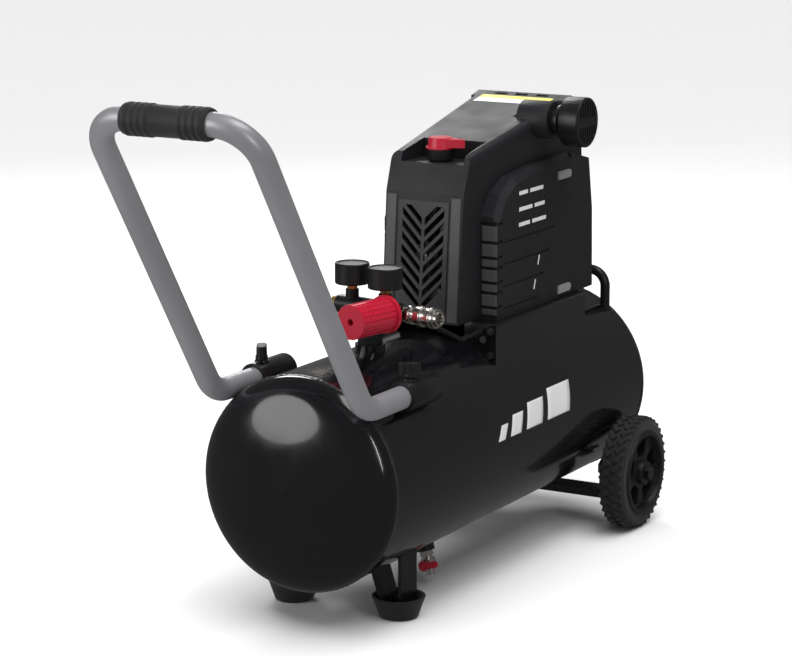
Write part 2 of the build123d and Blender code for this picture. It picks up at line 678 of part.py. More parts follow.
with BuildPart() as coupler_sleeve:
    rod(manifold_point(69), TO_LEFT, COUPLER_R + 2.5, 27)
    for t in (76, 89):
        rod(manifold_point(t), TO_LEFT, COUPLER_R + 3.5, 3)
    rod(manifold_point(60), TO_LEFT, COUPLER_R + FIT, 50, Mode.SUBTRACT)

with BuildPart() as supply_tube:
    start = manifold_point(12, -10.9)
    low = (start[0] + 30, start[1] - 20, 320)
    with BuildLine() as route:
        FilletPolyline(
            start, (start[0] + 12, start[1] - 4, MANIFOLD_Z - 2), low,
            (240, -66, 286), (SADDLE_X[0], -66, 286), radius=7,
        )
    with BuildSketch(Plane(origin=start, z_dir=route.line % 0)):
        Circle(3)
    sweep(path=route.line)
    rod(manifold_point(-44), TO_LEFT, 11, 87, Mode.SUBTRACT)

# ---------------------------------------------------------------- air intake

with BuildPart() as intake_neck:
    rod((BORE_X, -36.2, INTAKE_Z), (0, -1, 0), 16, 63.8)
    rod((BORE_X, -85, INTAKE_Z), (0, -1, 0), 19, 4)
    rod((BORE_X, -97, INTAKE_Z), (0, -1, 0), 26.8, 3)
    rod((BORE_X, -34, INTAKE_Z), (0, -1, 0), 12, 70, Mode.SUBTRACT)

with BuildPart() as filter_element:
    rod((BORE_X, -100, INTAKE_Z), (0, -1, 0), 24, 17)
    rod((BORE_X, -100, INTAKE_Z), (0, -1, 0), 12, 17, Mode.SUBTRACT)

with BuildPart() as filter_cap:
    rod((BORE_X, -96, INTAKE_Z), (0, -1, 0), 29.5, 25)
    fillet(filter_cap.edges().sort_by(Axis.Y)[0], 2)
    rod((BORE_X, -96, INTAKE_Z), (0, -1, 0), 27.1, 22, Mode.SUBTRACT)
    with BuildSketch(Plane.XZ.offset(110)) as slots:
        with Locations((BORE_X, INTAKE_Z)):
            with GridLocations(6.2, 0, 7, 1):
                Rectangle(3, 60)
            Circle(25.5, mode=Mode.INTERSECT)
            Rectangle(60, 11, mode=Mode.SUBTRACT)
    extrude(slots.sketch, amount=20, mode=Mode.SUBTRACT)

# ---------------------------------------------------------------- pump and motor

with BuildPart() as motor_frame:
    rod((MOTOR_X[0], 0, CRANK_Z), (1, 0, 0), 62, MOTOR_X[1] - MOTOR_X[0])
    block((330, 400), (-45, 45), (SADDLE_TOP, CRANK_Z - 30))
    rod((MOTOR_X[0] + 5, 0, CRANK_Z), (1, 0, 0), 58, 70, Mode.SUBTRACT)
    rod((300, 0, CRANK_Z), (1, 0, 0), 16, 140, Mode.SUBTRACT)
    with BuildSketch(Plane.YZ.offset(MOTOR_X[0] - 5)) as vents:
        with Locations((0, CRANK_Z)):
            with PolarLocations(40, 8):
                Circle(10)
    extrude(vents.sketch, amount=11, mode=Mode.SUBTRACT)

with BuildPart() as motor_stator:
    rod((STATOR_X[0], 0, CRANK_Z), (1, 0, 0), 58, STATOR_X[1] - STATOR_X[0])
    rod((STATOR_X[0], 0, CRANK_Z), (1, 0, 0), 33, 80, Mode.SUBTRACT)
    with BuildSketch(Plane.YZ.offset(STATOR_X[0])) as slots:
        with Locations((0, CRANK_Z)):
            with PolarLocations(38, 18):
                Rectangle(9, 4)
    extrude(slots.sketch, amount=80, mode=Mode.SUBTRACT)

with BuildPart() as crank_bearings:
    for low, high in ((MOTOR_X[0], MOTOR_X[0] + 5), (MOTOR_X[1] - 12, MOTOR_X[1])):
        rod((low, 0, CRANK_Z), (1, 0, 0), 16, high - low)
        rod((low, 0, CRANK_Z), (1, 0, 0), 8 + FIT, 20, Mode.SUBTRACT)

with BuildPart() as crankshaft:
    rod((276, 0, CRANK_Z), (1, 0, 0), 8, WEB_X - 276)
    rod((WEB_X, 0, CRANK_Z), (1, 0, 0), 30, 8)
    block((WEB_X, WEB_X + 8), (-14, 14), (CRANK_Z - 36, CRANK_Z - 20))

with BuildPart() as motor_rotor:
    rod((STATOR_X[0] + 2, 0, CRANK_Z), (1, 0, 0), 32.5, 52)
    rod((STATOR_X[0] + 2, 0, CRANK_Z), (1, 0, 0), 8, 52, Mode.SUBTRACT)

with BuildPart() as cooling_fan:
    rod((280, 0, CRANK_Z), (1, 0, 0), 14, 18)
    for step in range(7):
        turn = 360 / 7 * step
        blade = Plane(origin=(289, 0, CRANK_Z), x_dir=(1, 0, 0), z_dir=(0, 1, 0))
        blade = blade.rotated((turn, 0, 0), ordering=Extrinsic.XYZ) if turn else blade
        with BuildSketch(blade.offset(12)) as section:
            Rectangle(20, 2.5, rotation=50)
        extrude(section.sketch, amount=30)
    rod((276, 0, CRANK_Z), (1, 0, 0), 8, 30, Mode.SUBTRACT)

with BuildPart() as crankcase:
    rod((MOTOR_X[1], 0, CRANK_Z), (1, 0, 0), 46, 71)
    block((MOTOR_X[1] + 3, 476), (-40, 40), (SADDLE_TOP, CRANK_Z))
    block((BORE_X - 33, BORE_X + 30), (-33, 33), (CRANK_Z, CYLINDER_Z))
    rod((MOTOR_X[1] - 1, 0, CRANK_Z), (1, 0, 0), 41, 64, Mode.SUBTRACT)
    rod((BORE_X, 0, CRANK_Z), (0, 0, 1), BORE_R - 1, 60, Mode.SUBTRACT)

with BuildPart() as cylinder:
    rod((BORE_X, 0, CYLINDER_Z), (0, 0, 1), 31, HEAD_Z[0] - CYLINDER_Z)
    for step in range(5):
        rod((BORE_X, 0, CYLINDER_Z + 16 + 9 * step), (0, 0, 1), 42, 2.5)
    rod((BORE_X, 0, CYLINDER_Z), (0, 0, 1), 33, 4)
    rod((BORE_X, 0, CYLINDER_Z - 1), (0, 0, 1), BORE_R, 80, Mode.SUBTRACT)

with BuildPart() as cylinder_head:
    block((BORE_X - 36, BORE_X + 36), (-36, 36), HEAD_Z)
    fillet(cylinder_head.edges().filter_by(Axis.Z), 8)
    for step in range(5):
        x = BORE_X - 27 + 13 * step
        block((x, x + 5), (-40, 40), (HEAD_Z[0] + 21, HEAD_Z[1] + 1), Mode.SUBTRACT)
    rod((BORE_X, -37, HEAD_Z[0] + 13), (0, 1, 0), 6, 30, Mode.SUBTRACT)
    rod((BORE_X, 37, HEAD_Z[0] + 16), (0, -1, 0), 5, 25, Mode.SUBTRACT)

with BuildPart() as piston:
    rod((BORE_X, 0, PIN_Z - 11), (0, 0, 1), BORE_R - FIT, 26)
    for z in (PIN_Z + 8, PIN_Z + 12):
        rod((BORE_X, 0, z), (0, 0, 1), BORE_R + 1, 1, Mode.SUBTRACT)
        rod((BORE_X, 0, z), (0, 0, 1), BORE_R - 1.5, 1)
    block((BORE_X - 8.5, BORE_X + 8.5), (-30, 30), (PIN_Z - 12, PIN_Z + 10.5), Mode.SUBTRACT)
    rod((BORE_X - 22, 0, PIN_Z), (1, 0, 0), 5, 44)

with BuildPart() as connecting_rod:
    rod((BORE_X - 7.5, 0, PIN_Z), (1, 0, 0), 9.5, 15)
    rod((BORE_X - 7.5, 0, CRANK_Z + THROW), (1, 0, 0), 14, 15)
    block((BORE_X - 4, BORE_X + 4), (-6, 6), (CRANK_Z + THROW, PIN_Z))
    rod((WEB_X + 8.5, 0, CRANK_Z + THROW), (1, 0, 0), 7, 26)
    rod((BORE_X - 8, 0, PIN_Z), (1, 0, 0), 5 + FIT, 16, Mode.SUBTRACT)

with BuildPart() as discharge_tube:
    with BuildLine() as route:
        FilletPolyline(
            (BORE_X, 37, HEAD_Z[0] + 16),
            (BORE_X, 52, HEAD_Z[0] + 16),
            (DISCHARGE_X, 52, 434),
            (DISCHARGE_X, 40, 334),
            (DISCHARGE_X, 0, 312),
            (DISCHARGE_X, 0, TANK_TOP + 4),
            radius=8,
        )
    with BuildSketch(Plane(origin=(BORE_X, 37, HEAD_Z[0] + 16), z_dir=(0, 1, 0))):
        Circle(4.5)
    sweep(path=route.line)

with BuildPart() as cord_gland:
    hexagon((REAR_X, *GLAND_YZ), (1, 0, 0), 20, 6)
    rod((REAR_X + 6, *GLAND_YZ), (1, 0, 0), 8, 8)
    rod((REAR_X - 12, *GLAND_YZ), (1, 0, 0), 6.8, 12)
    rod((REAR_X - 15, *GLAND_YZ), (1, 0, 0), 4, 40, Mode.SUBTRACT)

# ---------------------------------------------------------------- write every piece

PIECES = {
    "tank_barrel": tank_barrel,
    "tank_front_head": tank_front_head,
    "tank_rear_head": tank_rear_head,
    "tank_bungs": tank_bungs,
    "saddle_plate": saddle_plate,
    "frame_bolts": frame_bolts,
    "handle_sockets": handle_sockets,
    "rear_lift_handle": rear_lift_handle,
    "front_foot_bracket": front_foot_bracket,
    "foot_cups": foot_cups,
    "wheel_bracket": wheel_bracket,
    "axle_bolts": axle_bolts,
    "wheel_right_tyre": wheel_right_tyre,
    "wheel_right_hub": wheel_right_hub,
    "wheel_left_tyre": wheel_left_tyre,
    "wheel_left_hub": wheel_left_hub,
    "drain_valve_body": drain_valve_body,
    "drain_valve_lever": drain_valve_lever,
    "push_handle_tube": push_handle_tube,
    "push_handle_grip": push_handle_grip,
    "clamp_knob_right": clamp_knob_right,
    "clamp_knob_left": clamp_knob_left,
    "shroud_hood": shroud_hood,
    "shroud_rear": shroud_rear,
    "side_panel_right": side_panel_right,
    "side_panel_left": side_panel_left,
    "vent_grille": vent_grille,
    "pressure_switch_body": pressure_switch_body,
    "pressure_switch_knob": pressure_switch_knob,
    "riser_pipe": riser_pipe,
    "manifold_block": manifold_block,
    "gauge_stems": gauge_stems,
    "gauge_cases": gauge_cases,
    "gauge_dials": gauge_dials,
    "gauge_lenses": gauge_lenses,
    "gauge_needle_left": gauge_needle_left,
    "gauge_needle_right": gauge_needle_right,
    "regulator_body": regulator_body,
    "regulator_knob": regulator_knob,
    "safety_valve_body": safety_valve_body,
    "safety_valve_ring": safety_valve_ring,
    "coupler_body": coupler_body,
    "coupler_sleeve": coupler_sleeve,
    "supply_tube": supply_tube,
    "intake_neck": intake_neck,
    "filter_element": filter_element,
    "filter_cap": filter_cap,
    "motor_frame": motor_frame,
    "motor_stator": motor_stator,
    "crank_bearings": crank_bearings,
    "crankshaft": crankshaft,
    "motor_rotor": motor_rotor,
    "cooling_fan": cooling_fan,
    "crankcase": crankcase,
    "cylinder": cylinder,
    "cylinder_head": cylinder_head,
    "piston": piston,
    "connecting_rod": connecting_rod,
    "discharge_tube": discharge_tube,
    "cord_gland": cord_gland,
}

os.makedirs("parts", exist_ok=True)
for label, piece in PIECES.items():
    placed = piece.part.moved(CENTRE)
    placed.label = label
    export_step(placed, f"parts/{label}.step")
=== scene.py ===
import json
import math

import bmesh
import bpy
from mathutils import Matrix, Vector


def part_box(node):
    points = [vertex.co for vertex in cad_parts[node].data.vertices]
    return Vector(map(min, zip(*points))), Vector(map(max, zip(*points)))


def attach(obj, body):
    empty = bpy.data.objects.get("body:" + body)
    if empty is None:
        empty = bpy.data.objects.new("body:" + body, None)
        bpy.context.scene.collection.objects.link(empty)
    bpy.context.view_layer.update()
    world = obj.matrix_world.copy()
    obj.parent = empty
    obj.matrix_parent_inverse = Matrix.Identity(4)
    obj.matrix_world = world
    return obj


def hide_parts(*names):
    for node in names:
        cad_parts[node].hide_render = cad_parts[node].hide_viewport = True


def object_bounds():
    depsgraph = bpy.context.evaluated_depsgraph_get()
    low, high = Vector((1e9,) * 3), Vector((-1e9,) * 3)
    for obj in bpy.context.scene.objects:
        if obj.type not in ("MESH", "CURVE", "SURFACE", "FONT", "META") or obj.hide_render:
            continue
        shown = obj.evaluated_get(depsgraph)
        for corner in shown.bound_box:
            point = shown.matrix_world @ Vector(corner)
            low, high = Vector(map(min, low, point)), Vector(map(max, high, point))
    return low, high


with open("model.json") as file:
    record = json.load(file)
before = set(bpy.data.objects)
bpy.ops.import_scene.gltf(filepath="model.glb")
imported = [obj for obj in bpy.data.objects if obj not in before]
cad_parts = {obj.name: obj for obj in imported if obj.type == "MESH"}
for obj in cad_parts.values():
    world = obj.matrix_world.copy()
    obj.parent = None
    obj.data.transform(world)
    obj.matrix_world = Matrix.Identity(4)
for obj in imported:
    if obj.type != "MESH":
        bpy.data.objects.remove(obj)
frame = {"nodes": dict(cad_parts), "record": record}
CAD_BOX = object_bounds()


# ---------------------------------------------------------------- shared helpers

def in_scene(name, data):
    made = bpy.data.objects.new(name, data)
    bpy.context.scene.collection.objects.link(made)
    return made


def mesh_piece(name, verts, faces, smooth=False):
    mesh = bpy.data.meshes.new(name)
    mesh.from_pydata([tuple(v) for v in verts], [], faces)
    mesh.validate()
    for face in mesh.polygons:
        face.use_smooth = smooth
    return in_scene(name, mesh)


def piece_from(name, build):
    """Ends a bmesh as a new object."""
    mesh = bpy.data.meshes.new(name)
    build.to_mesh(mesh)
    build.free()
    return in_scene(name, mesh)


def done(piece, body, material):
    piece.data.materials.append(material)
    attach(piece, body)
    return piece


def frame_at(origin, x_axis, z_axis):
    z = Vector(z_axis).normalized()
    x = Vector(x_axis).normalized()
    y = z.cross(x)
    return Matrix.Translation(origin) @ Matrix((x, y, z)).transposed().to_4x4()


def oblong(left, right, bottom, top):
    return [(left, bottom), (right, bottom), (right, top), (left, top)]


def wrapped_quads(around, ring):
    """Quads over a grid of points that closes on itself both ways."""
    return [
        (i * ring + j, i * ring + (j + 1) % ring,
         ((i + 1) % around) * ring + (j + 1) % ring, ((i + 1) % around) * ring + j)
        for i in range(around) for j in range(ring)
    ]


def solid(name, outline, place, thick, round_edge=0.0):
    """Closed plate: a flat outline given a thickness along +Z of its own frame."""
    build = bmesh.new()
    face = build.faces.new([build.verts.new((x, y, 0)) for x, y in outline])
    face.normal_update()
    if face.normal.z < 0:
        face.normal_flip()
    grown = bmesh.ops.extrude_face_region(build, geom=[face])
    moved = [v for v in grown["geom"] if isinstance(v, bmesh.types.BMVert)]
    bmesh.ops.translate(build, verts=moved, vec=(0, 0, thick))
    bmesh.ops.recalc_face_normals(build, faces=build.faces)
    if round_edge:
        top = [e for e in build.edges if all(v.co.z > thick / 2 for v in e.verts)]
        bmesh.ops.bevel(build, geom=top, offset=round_edge, segments=2, affect="EDGES", profile=0.5)
    build.transform(place)
    return piece_from(name, build)


# ---------------------------------------------------------------- materials

# Sockets of a colour mix node, which share their names with its other types
MIX_FACTOR, MIX_A, MIX_B, MIX_RESULT = 0, 6, 7, 2
NOISE_LOW, NOISE_HIGH = 0.3, 0.7
BUMP_DEPTH = 0.0004
SMOOTHEST = 0.03


def node(tree, kind, **values):
    made = tree.nodes.new(kind)
    for key, value in values.items():
        if key in made.inputs:
            made.inputs[key].default_value = value
        else:
            setattr(made, key, value)
    return made


def noise(tree, scale, detail=4.0):
    """Noise measured in the object's own metres."""
    place = node(tree, "ShaderNodeTexCoord")
    texture = node(tree, "ShaderNodeTexNoise", Scale=scale, Detail=detail)
    tree.links.new(place.outputs["Object"], texture.inputs["Vector"])
    return texture.outputs["Fac"]


def spread(tree, factor, low, high):
    """Maps the middle of a noise onto a range."""
    ranged = node(tree, "ShaderNodeMapRange")
    limits = {"From Min": NOISE_LOW, "From Max": NOISE_HIGH, "To Min": low, "To Max": high}
    for key, value in limits.items():
        ranged.inputs[key].default_value = value
    tree.links.new(factor, ranged.inputs["Value"])
    return ranged.outputs["Result"]


def split_by_height(tree, above, height, below):
    """Keeps a colour above a height, and uses a plain one below it."""
    place = node(tree, "ShaderNodeTexCoord")
    parts = node(tree, "ShaderNodeSeparateXYZ")
    is_above = node(tree, "ShaderNodeMath", operation="GREATER_THAN")
    is_above.inputs[1].default_value = height
    two = node(tree, "ShaderNodeMix", data_type="RGBA")
    two.inputs[MIX_A].default_value = (*below, 1)
    tree.links.new(place.outputs["Object"], parts.inputs[0])
    tree.links.new(parts.outputs["Z"], is_above.inputs[0])
    tree.links.new(is_above.outputs[0], two.inputs[MIX_FACTOR])
    tree.links.new(above, two.inputs[MIX_B])
    return two.outputs[MIX_RESULT]


def finish(name, color, rough, metal=0.0, grain=(900, 0.1), patch=7.0, vary=0.12, swing=0.08,
           coat=0.0, coat_rough=0.08, sheen=0.0, specular=0.5, stretch=None, split=None):
    """Procedural finish: colour patches, uneven roughness and a surface grain.

    grain is (scale per metre, bump strength). split is (height, other colour) for a piece
    moulded in two colours: color above that height, and the other one below it.
    """
    material = bpy.data.materials.new(name)
    material.use_nodes = True
    tree = material.node_tree
    shader = tree.nodes["Principled BSDF"]
    shader.inputs["Metallic"].default_value = metal
    shader.inputs["Coat Weight"].default_value = coat
    shader.inputs["Coat Roughness"].default_value = coat_rough
    shader.inputs["Sheen Weight"].default_value = sheen
    shader.inputs["Specular IOR Level"].default_value = specular

    mix = node(tree, "ShaderNodeMix", data_type="RGBA")
    mix.inputs[MIX_A].default_value = (*[c * (1 - vary) for c in color], 1)
    mix.inputs[MIX_B].default_value = (*[min(1, c * (1 + vary)) for c in color], 1)
    tree.links.new(spread(tree, noise(tree, patch), 0, 1), mix.inputs[MIX_FACTOR])
    shade = mix.outputs[MIX_RESULT]
    if split:
        shade = split_by_height(tree, shade, *split)
    tree.links.new(shade, shader.inputs["Base Color"])
    uneven = spread(tree, noise(tree, patch * 3), max(SMOOTHEST, rough - swing), min(1, rough + swing))
    tree.links.new(uneven, shader.inputs["Roughness"])

    scale, strength = grain
    place = node(tree, "ShaderNodeTexCoord")
    fine = node(tree, "ShaderNodeTexNoise", Scale=scale, Detail=3.0)
    source = place.outputs["Object"]
    if stretch:
        brush = node(tree, "ShaderNodeMapping")
        brush.inputs["Scale"].default_value = stretch
        tree.links.new(source, brush.inputs["Vector"])
        source = brush.outputs["Vector"]
    tree.links.new(source, fine.inputs["Vector"])
    bump = node(tree, "ShaderNodeBump", Strength=strength, Distance=BUMP_DEPTH)
    tree.links.new(fine.outputs["Fac"], bump.inputs["Height"])
    tree.links.new(bump.outputs["Normal"], shader.inputs["Normal"])
    return material


def clear(name):
    material = bpy.data.materials.new(name)
    material.use_nodes = True
    tree = material.node_tree
    shader = tree.nodes["Principled BSDF"]
    shader.inputs["Base Color"].default_value = (0.96, 0.98, 0.98, 1)
    shader.inputs["Alpha"].default_value = 0.18
    haze = spread(tree, noise(tree, 60), SMOOTHEST, 0.1)
    tree.links.new(haze, shader.inputs["Roughness"])
    return material


BLACK = (0.004, 0.004, 0.005)
RED = (0.44, 0.008, 0.03)
KNOB_BASE_COLOR = (0.012, 0.012, 0.013)
KNOB_SPLIT_Z = 0.4915

FINISH = {
    "black_paint": finish("gloss_black_enamel", BLACK, 0.17, grain=(260, 0.05), coat=0.5, coat_rough=0.06),
    "bracket": finish("powder_coated_black", (0.007, 0.007, 0.008), 0.3, grain=(700, 0.16)),
    "silver_paint": finish("silver_powder_coat", (0.36, 0.36, 0.38), 0.4, 0.55, grain=(1300, 0.14),
                           vary=0.07),
    "shroud_plastic": finish("grained_charcoal_plastic", (0.013, 0.013, 0.015), 0.5, grain=(1700, 0.5),
                             specular=0.4),
    "grille": finish("grille_plastic", (0.02, 0.02, 0.023), 0.46, grain=(1500, 0.3)),
    "black_plastic": finish("moulded_black_plastic", (0.008, 0.008, 0.009), 0.38, grain=(1100, 0.22)),
    "red_plastic": finish("moulded_red_plastic", RED, 0.34, grain=(1200, 0.12), vary=0.06),
    "rubber": finish("soft_rubber", (0.011, 0.011, 0.011), 0.62, grain=(1500, 0.4), sheen=0.1),
    "tyre": finish("tyre_rubber", (0.013, 0.013, 0.013), 0.7, grain=(1000, 0.5), sheen=0.08),
    "brass": finish("turned_brass", (0.68, 0.45, 0.16), 0.28, 1.0, grain=(1400, 0.1), swing=0.1),
    "nickel": finish("nickel_plate", (0.66, 0.63, 0.58), 0.2, 1.0, grain=(900, 0.06), vary=0.05),
    "zinc": finish("dark_zinc_plate", (0.13, 0.13, 0.135), 0.4, 1.0, grain=(800, 0.15)),
    "cast_aluminium": finish("cast_aluminium", (0.5, 0.51, 0.52), 0.52, 1.0, grain=(600, 0.6)),
    "cast_iron": finish("cast_iron", (0.07, 0.07, 0.075), 0.6, 0.8, grain=(500, 0.7)),
    "steel": finish("ground_steel", (0.46, 0.46, 0.47), 0.3, 1.0, grain=(900, 0.2), stretch=(0.1, 1, 1)),
    "winding": finish("copper_winding", (0.36, 0.13, 0.05), 0.42, 0.7, grain=(500, 0.8),
                      stretch=(0.15, 1, 1)),
    "dial": finish("dial_enamel", (0.84, 0.84, 0.82), 0.5, grain=(1200, 0.04), vary=0.02),
    "clear_lens": clear("gauge_glass"),
    "filter_foam": finish("filter_foam", (0.16, 0.16, 0.15), 0.95, grain=(450, 1.0)),
}
KNOB = finish("two_colour_knob", RED, 0.34, grain=(1200, 0.12), vary=0.06,
              split=(KNOB_SPLIT_Z, KNOB_BASE_COLOR))
PRINT = finish("pale_print", (0.62, 0.62, 0.63), 0.5, grain=(900, 0.05), vary=0.05)
WELD = finish("painted_weld", (0.016, 0.016, 0.018), 0.24, grain=(420, 0.5), coat=0.5)

BRACKETS = ("handle_sockets", "rear_lift_handle", "front_foot_bracket", "wheel_bracket",
            "manifold_block", "riser_pipe", "supply_tube")
BY_NODE = {**dict.fromkeys(BRACKETS, "bracket"), "vent_grille": "grille"}


def paint_nodes():
    """Gives every CAD node its finish, from its own entry or its slot in the record."""
    slots = {s["node"]: s["material_slot"] for s in frame["record"]["subparts"]}
    for name, piece in frame["nodes"].items():
        material = KNOB if name == "pressure_switch_knob" else FINISH[BY_NODE.get(name, slots[name])]
        piece.data.materials.clear()
        piece.data.materials.append(material)


# ---------------------------------------------------------------- camera, light and floor

CAMERA_PLACE = (-2.602, -1.482, 0.916)
CAMERA_YAW, CAMERA_PITCH = 0.517, 0.203
LENS, SENSOR = 122.55, 36

WORLD_STRENGTH = 0.11
# Name, place, target, (width, height) and watts
LIGHTS = (
    ("front", (-2.5, 1.5, 1.15), (-0.4, 0, 0.25), (2.1, 1.8), 30),
    ("streak", (-1.6, -2.4, 1.3), (-0.2, 0, 0.3), (0.12, 1.6), 9),
    ("top", (0.1, -0.7, 2.6), (0, 0, 0.3), (2.6, 0.7), 17),
    ("rim", (1.9, 1.6, 1.9), (0.1, 0, 0.4), (1.4, 0.8), 26),
)
WASH_STRENGTH, WASH_ANGLE = 3.0, 70
WASH_TILT_X, WASH_TILT_Y = 8, -10

FLOOR_HALF, FLOOR_GAP = 30, 0.0005


def make_camera():
    data = bpy.data.cameras.new("camera")
    data.lens = LENS
    data.sensor_width = SENSOR
    data.clip_end = 50
    level = math.cos(CAMERA_PITCH)
    look = Vector((math.cos(CAMERA_YAW) * level, math.sin(CAMERA_YAW) * level, -math.sin(CAMERA_PITCH)))
    camera = in_scene("camera", data)
    camera.location = CAMERA_PLACE
    camera.rotation_euler = look.to_track_quat("-Z", "Y").to_euler()
    bpy.context.scene.camera = camera


def make_light(name, place, target, size, power):
    data = bpy.data.lights.new(name, "AREA")
    data.shape = "ELLIPSE"
    data.size, data.size_y = size
    data.energy = power
    lamp = in_scene(name, data)
    lamp.location = place
    lamp.rotation_euler = (Vector(target) - Vector(place)).to_track_quat("-Z", "Y").to_euler()


def make_studio():
    world = bpy.data.worlds.new("studio")
    bpy.context.scene.world = world
    world.use_nodes = True
    sky = world.node_tree.nodes["Background"]
    sky.inputs["Color"].default_value = (1, 1, 1, 1)
    sky.inputs["Strength"].default_value = WORLD_STRENGTH
    for light in LIGHTS:
        make_light(*light)

    # Even wash from above, as from a white ceiling, which doesn't mirror in the gloss
    wash = bpy.data.lights.new("wash", "SUN")
    wash.energy = WASH_STRENGTH
    wash.angle = math.radians(WASH_ANGLE)
    lamp = in_scene("wash", wash)
    lamp.rotation_euler = (math.radians(WASH_TILT_X), math.radians(WASH_TILT_Y), 0)
    lamp.visible_glossy = False

    corners = oblong(-FLOOR_HALF, FLOOR_HALF, -FLOOR_HALF, FLOOR_HALF)
    floor = mesh_piece("floor", [(x, y, 0) for x, y in corners], [(0, 1, 2, 3)])
    floor.location.z = CAD_BOX[0][2] - FLOOR_GAP
    paper = finish("floor_paper", (0.88, 0.88, 0.88), 0.85, grain=(300, 0.02), vary=0.004, swing=0.02)
    floor.data.materials.append(paper)
    floor.visible_glossy = False


# ---------------------------------------------------------------- tyres

TYRE_STEPS = 96
TREAD_DEPTH = 0.0034
SHOULDER_DROP = 0.001
TREAD_CROWN = 0.0006

LUG_COLUMNS = 36
EDGE_ROW_INSET, MIDDLE_ROW_Y = 0.0065, 0.0062
EDGE_LUG, MIDDLE_LUG = (0.0050, 0.0050), (0.0056, 0.0057)
EDGE_LUG_DROP, MIDDLE_LUG_DROP = 0.0012, 0.0001
LUG_ROOT = 0.002
LUG_FOOT_SCALE, LUG_TOP_SCALE = 1.12, 0.86


def tread_tyre(side):
    """Tyre with a ribbed sidewall and a tread of staggered diamond lugs."""
    node_name = f"wheel_{side}_tyre"
    low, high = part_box(node_name)
    centre = (low + high) / 2
    outer = (high.z - low.z) / 2
    half = (high.y - low.y) / 2
    floor_r = outer - TREAD_DEPTH

    # Half the section, as (distance in from the sidewall, radius), then its mirror image
    wall = [(0.0005, 0.052), (0, 0.055), (0.0008, 0.0575), (0.0003, 0.0605),
            (0.0028, floor_r - SHOULDER_DROP), (0.008, floor_r)]
    profile = [(-half + inset, r) for inset, r in wall]
    profile += [(0, floor_r + TREAD_CROWN)]
    profile += [(half - inset, r) for inset, r in reversed(wall)]
    verts = [
        (r * math.cos(2 * math.pi * i / TYRE_STEPS), y, r * math.sin(2 * math.pi * i / TYRE_STEPS))
        for i in range(TYRE_STEPS) for y, r in profile
    ]
    faces = wrapped_quads(TYRE_STEPS, len(profile))

    rows = (-half + EDGE_ROW_INSET, -MIDDLE_ROW_Y, MIDDLE_ROW_Y, half - EDGE_ROW_INSET)
    for column in range(LUG_COLUMNS):
        for row, y in enumerate(rows):
            turn = 2 * math.pi * (column + 0.5 * (row % 2)) / LUG_COLUMNS
            edge = row in (0, 3)
            wide, along = EDGE_LUG if edge else MIDDLE_LUG
            top_r = outer - (EDGE_LUG_DROP if edge else MIDDLE_LUG_DROP)
            corners = [(-along, 0), (0, -wide), (along, 0), (0, wide)]
            first = len(verts)
            for radius, scale in ((floor_r - LUG_ROOT, LUG_FOOT_SCALE), (top_r, LUG_TOP_SCALE)):
                for a, b in corners:
                    angle = turn + a * scale / outer
                    verts.append((radius * math.cos(angle), y + b * scale, radius * math.sin(angle)))
            faces.append((first + 4, first + 5, first + 6, first + 7))
            faces.append((first + 3, first + 2, first + 1, first))
            for k in range(4):
                n = (k + 1) % 4
                faces.append((first + k, first + n, first + 4 + n, first + 4 + k))

    piece = mesh_piece(f"{side}_tread_tyre", [Vector(v) + centre for v in verts], faces)
    build = bmesh.new()
    build.from_mesh(piece.data)
    bmesh.ops.recalc_face_normals(build, faces=build.faces)
    build.to_mesh(piece.data)
    build.free()
    piece.data.shade_smooth()
    piece.data.set_sharp_from_angle(angle=math.radians(32))
    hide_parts(node_name)
    done(piece, f"wheel_{side}", FINISH["tyre"])


# ---------------------------------------------------------------- tank details

BEAD_HALF_WIDE, BEAD_HIGH = 0.0026, 0.0009
BEAD_AROUND, BEAD_RING = 420, 8
RIPPLE, RIPPLES = 0.00022, 105

FILM_UNDER, FILM_OVER = 0.00012, 0.0004
FILM_ROWS, FILM_COLUMNS = 14, 6

MARKS_START = 0.232
MARK_LEAN = 0.012
MARK_FOOT_ANGLE = 5
# Distance along from the first mark, width, and angle of the top edge above level
MARKS = ((0, 0.016, 13), (0.030, 0.026, 16), (0.070, 0.040, 19), (0.124, 0.058, 22))


def weld_bead(name, x, radius, axis_z):
    """Rippled bead laid round the tank where a head joins the barrel."""
    verts = []
    for i in range(BEAD_AROUND):
        turn = 2 * math.pi * i / BEAD_AROUND
        ripple = RIPPLE * math.sin(turn * RIPPLES)
        for j in range(BEAD_RING):
            tilt = 2 * math.pi * j / BEAD_RING
            r = radius + (BEAD_HIGH + ripple) * math.sin(tilt)
            across = x + (BEAD_HALF_WIDE + ripple) * math.cos(tilt)
            verts.append((across, r * math.cos(turn), axis_z + r * math.sin(turn)))
    bead = mesh_piece(name, verts, wrapped_quads(BEAD_AROUND, BEAD_RING), smooth=True)
    done(bead, "machine", WELD)


